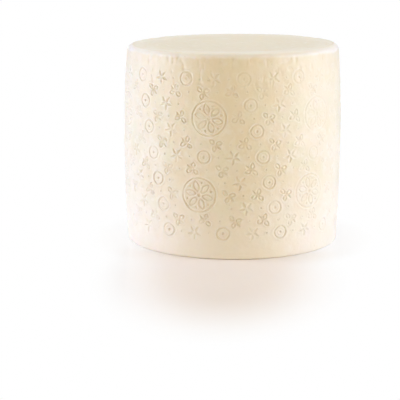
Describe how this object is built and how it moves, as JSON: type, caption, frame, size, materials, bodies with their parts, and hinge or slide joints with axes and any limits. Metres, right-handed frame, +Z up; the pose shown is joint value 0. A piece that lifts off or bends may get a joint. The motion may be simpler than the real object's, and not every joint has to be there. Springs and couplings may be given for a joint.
{
  "type": "pecorino romano wheel",
  "caption": "Tall drum-shaped wheel of hard sheep's milk cheese with a pale ivory rind, a rounded upper rim and shallow pressed marks round its side.",
  "frame": {"origin": "middle of the flat base that the wheel stands on", "axes": "+Z up along the wheel's axis; +X towards the side where the top stands about 2 mm higher; the plain strip where the ends of the pressed band meet is at +Y"},
  "size_m": [0.3109, 0.3091, 0.2831],
  "materials": {
    "rind": "satin"
  },
  "bodies": {
    "root": {"cheese_wheel": "rind"}
  },
  "joints": []
}
